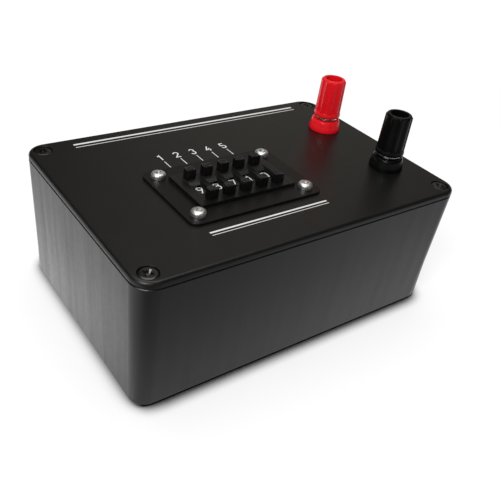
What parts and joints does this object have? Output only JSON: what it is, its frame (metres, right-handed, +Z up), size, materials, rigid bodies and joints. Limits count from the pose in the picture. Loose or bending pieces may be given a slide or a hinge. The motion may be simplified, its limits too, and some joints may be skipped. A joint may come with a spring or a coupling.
{
  "type": "capacitance substitution box",
  "caption": "Screwed plastic bench box with a row of push-wheel switches in a bezel plate and a red and a black binding post on the lid.",
  "frame": {"origin": "centre of the case's bottom face, on the surface it stands on", "axes": "+X along the long side towards the binding posts, +Y to the back, +Z up"},
  "size_m": [0.15, 0.1, 0.0811],
  "materials": {
    "case_plastic": "fine moulded texture, satin",
    "lid_plastic": "fine moulded texture, satin",
    "bezel_paint": "satin black",
    "switch_plastic": "semi-matt moulded",
    "wheel_plastic": "matt moulded",
    "button_plastic": "semi-matt moulded",
    "red_plastic": "glossy",
    "black_plastic": "glossy",
    "post_metal": "nickel plated",
    "brass": "turned",
    "black_screw": "black plated, glossy",
    "zinc_screw": "bright zinc plated",
    "plated_steel": "zinc plated",
    "board": "printed board laminate",
    "film_body": "potted plastic box",
    "ceramic_body": "dipped ceramic",
    "wire_coat": "insulated solid wire"
  },
  "bodies": {
    "case": {"base_shell": "case_plastic", "screw_inserts": "brass", "lid": "lid_plastic", "lid_screws": "black_screw", "bezel_plate": "bezel_paint", "bezel_screws": "zinc_screw", "bezel_washers": "plated_steel", "bezel_nuts": "plated_steel", "end_cap_left": "switch_plastic", "end_cap_right": "switch_plastic", "bank_rods": "plated_steel", "rod_nuts": "plated_steel", "contact_boards": "board", "switch_case_1": "switch_plastic", "switch_case_2": "switch_plastic", "switch_case_3": "switch_plastic", "switch_case_4": "switch_plastic", "switch_case_5": "switch_plastic", "red_stud": "post_metal", "red_collar": "red_plastic", "red_bush": "red_plastic", "red_tag": "plated_steel", "red_nut": "plated_steel", "black_stud": "post_metal", "black_collar": "black_plastic", "black_bush": "black_plastic", "black_tag": "plated_steel", "black_nut": "plated_steel", "capacitor_board": "board", "board_screws": "plated_steel", "film_capacitors": "film_body", "ceramic_capacitors": "ceramic_body", "link_wires": "wire_coat"},
    "wheel_1": {"digit_wheel_1": "wheel_plastic", "ratchet_1": "wheel_plastic"},
    "minus_1": {"minus_button_1": "button_plastic"},
    "plus_1": {"plus_button_1": "button_plastic"},
    "wheel_2": {"digit_wheel_2": "wheel_plastic", "ratchet_2": "wheel_plastic"},
    "minus_2": {"minus_button_2": "button_plastic"},
    "plus_2": {"plus_button_2": "button_plastic"},
    "wheel_3": {"digit_wheel_3": "wheel_plastic", "ratchet_3": "wheel_plastic"},
    "minus_3": {"minus_button_3": "button_plastic"},
    "plus_3": {"plus_button_3": "button_plastic"},
    "wheel_4": {"digit_wheel_4": "wheel_plastic", "ratchet_4": "wheel_plastic"},
    "minus_4": {"minus_button_4": "button_plastic"},
    "plus_4": {"plus_button_4": "button_plastic"},
    "wheel_5": {"digit_wheel_5": "wheel_plastic", "ratchet_5": "wheel_plastic"},
    "minus_5": {"minus_button_5": "button_plastic"},
    "plus_5": {"plus_button_5": "button_plastic"},
    "red_clamp": {"red_clamp_washer": "post_metal"},
    "red_grip": {"red_knob": "red_plastic", "red_knob_core": "brass"},
    "black_clamp": {"black_clamp_washer": "post_metal"},
    "black_grip": {"black_knob": "black_plastic", "black_knob_core": "brass"}
  },
  "joints": [
    {"name": "wheel_1_turn", "type": "hinge", "parent": "case", "child": "wheel_1", "pos_m": [-0.02844, -0.0088, 0.0491], "axis": [1, 0, 0], "continuous": true},
    {"name": "wheel_2_turn", "type": "hinge", "parent": "case", "child": "wheel_2", "pos_m": [-0.02082, -0.0088, 0.0491], "axis": [1, 0, 0], "continuous": true},
    {"name": "wheel_3_turn", "type": "hinge", "parent": "case", "child": "wheel_3", "pos_m": [-0.0132, -0.0088, 0.0491], "axis": [1, 0, 0], "continuous": true},
    {"name": "wheel_4_turn", "type": "hinge", "parent": "case", "child": "wheel_4", "pos_m": [-0.00558, -0.0088, 0.0491], "axis": [1, 0, 0], "continuous": true},
    {"name": "wheel_5_turn", "type": "hinge", "parent": "case", "child": "wheel_5", "pos_m": [0.00204, -0.0088, 0.0491], "axis": [1, 0, 0], "continuous": true},
    {"name": "minus_1_press", "type": "slide", "parent": "case", "child": "minus_1", "axis": [0, 0, -1], "range_m": [0, 0.002], "stiffness_N_per_m": 400, "springref_m": -0.001},
    {"name": "plus_1_press", "type": "slide", "parent": "case", "child": "plus_1", "axis": [0, 0, -1], "range_m": [0, 0.002], "stiffness_N_per_m": 400, "springref_m": -0.001},
    {"name": "minus_2_press", "type": "slide", "parent": "case", "child": "minus_2", "axis": [0, 0, -1], "range_m": [0, 0.002], "stiffness_N_per_m": 400, "springref_m": -0.001},
    {"name": "plus_2_press", "type": "slide", "parent": "case", "child": "plus_2", "axis": [0, 0, -1], "range_m": [0, 0.002], "stiffness_N_per_m": 400, "springref_m": -0.001},
    {"name": "minus_3_press", "type": "slide", "parent": "case", "child": "minus_3", "axis": [0, 0, -1], "range_m": [0, 0.002], "stiffness_N_per_m": 400, "springref_m": -0.001},
    {"name": "plus_3_press", "type": "slide", "parent": "case", "child": "plus_3", "axis": [0, 0, -1], "range_m": [0, 0.002], "stiffness_N_per_m": 400, "springref_m": -0.001},
    {"name": "minus_4_press", "type": "slide", "parent": "case", "child": "minus_4", "axis": [0, 0, -1], "range_m": [0, 0.002], "stiffness_N_per_m": 400, "springref_m": -0.001},
    {"name": "plus_4_press", "type": "slide", "parent": "case", "child": "plus_4", "axis": [0, 0, -1], "range_m": [0, 0.002], "stiffness_N_per_m": 400, "springref_m": -0.001},
    {"name": "minus_5_press", "type": "slide", "parent": "case", "child": "minus_5", "axis": [0, 0, -1], "range_m": [0, 0.002], "stiffness_N_per_m": 400, "springref_m": -0.001},
    {"name": "plus_5_press", "type": "slide", "parent": "case", "child": "plus_5", "axis": [0, 0, -1], "range_m": [0, 0.002], "stiffness_N_per_m": 400, "springref_m": -0.001},
    {"name": "red_post_lift", "type": "slide", "parent": "case", "child": "red_clamp", "axis": [0, 0, 1], "range_m": [0, 0.005]},
    {"name": "red_post_turn", "type": "hinge", "parent": "red_clamp", "child": "red_grip", "pos_m": [0.0587, 0.0189, 0.069], "axis": [0, 0, 1], "range_deg": [0, 1800]},
    {"name": "black_post_lift", "type": "slide", "parent": "case", "child": "black_clamp", "axis": [0, 0, 1], "range_m": [0, 0.005]},
    {"name": "black_post_turn", "type": "hinge", "parent": "black_clamp", "child": "black_grip", "pos_m": [0.0587, -0.0217, 0.069], "axis": [0, 0, 1], "range_deg": [0, 1800]}
  ],
  "couplings": [
    {"joint": "red_post_turn", "follows": "red_post_lift", "rad_per_m": 6283.1},
    {"joint": "black_post_turn", "follows": "black_post_lift", "rad_per_m": 6283.1}
  ]
}
